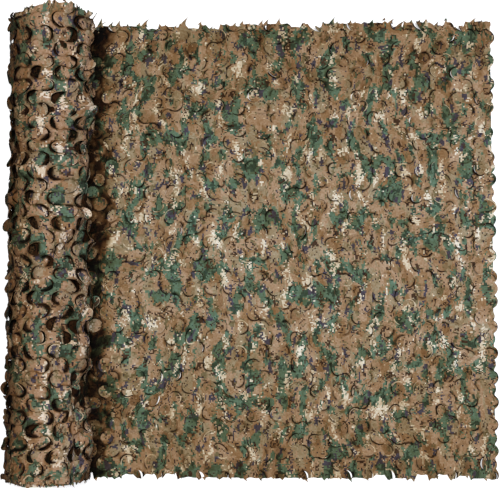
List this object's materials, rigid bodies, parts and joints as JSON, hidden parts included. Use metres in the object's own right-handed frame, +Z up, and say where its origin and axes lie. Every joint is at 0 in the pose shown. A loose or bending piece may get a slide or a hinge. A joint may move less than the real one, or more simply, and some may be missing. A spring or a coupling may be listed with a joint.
{
  "type": "camouflage net",
  "caption": "Wide camouflage net of thin leaf-cut cloth in a pixel woodland print, part wound into a roll, its loose end laid out flat with a horned and scalloped cut edge.",
  "frame": {"origin": "under the roll's axis, halfway along it, on the flat spot that the roll rests on", "axes": "+X from the roll to the free end of the lying cloth, +Y along the roll, +Z up from the surface it lies on"},
  "size_m": [1.5818, 1.5211, 0.2656],
  "materials": {
    "rolled_cloth": "matt thin woven cloth in a pixel woodland print, seen from its back, leaves standing open",
    "lying_cloth": "matt thin woven cloth in a pixel woodland print, leaves lying nearly closed"
  },
  "bodies": {
    "root": {"roll": "rolled_cloth", "loose_sheet": "lying_cloth"}
  },
  "joints": []
}
